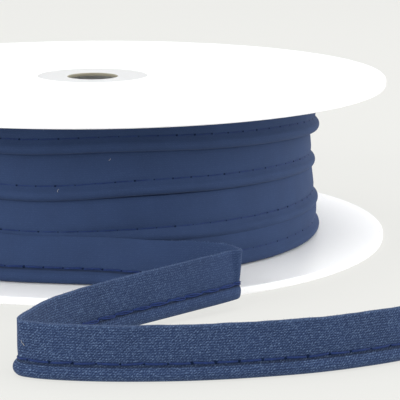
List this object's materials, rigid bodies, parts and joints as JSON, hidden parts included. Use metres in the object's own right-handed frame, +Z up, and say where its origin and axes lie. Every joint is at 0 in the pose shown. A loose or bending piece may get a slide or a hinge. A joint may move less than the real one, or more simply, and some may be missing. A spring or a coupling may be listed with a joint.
{
  "type": "reel of piping trim",
  "caption": "Flanged white plastic reel wound with navy corded piping trim, its free end led out low over the rim and folded to and fro in front; stands flat on its lower flange.",
  "frame": {"origin": "bottom centre of the whole outline, on the surface that the reel stands on; the reel's own axis is vertical, 26.7 mm behind it", "axes": "+Z up along the reel's axis, +Y from the loose end towards the back of the reel, +X to the right seen from the front"},
  "size_m": [0.14, 0.1934, 0.0387],
  "materials": {
    "reel_plastic": "moulded white polystyrene, satin gloss",
    "trim_cloth": "navy plain-weave polyester and cotton, cut on the bias",
    "stitch_thread": "spun polyester sewing thread, royal blue"
  },
  "bodies": {
    "root": {"flange_bottom": "reel_plastic", "flange_top": "reel_plastic", "barrel": "reel_plastic", "wound_trim": "trim_cloth", "loose_trim": "trim_cloth"}
  },
  "joints": []
}
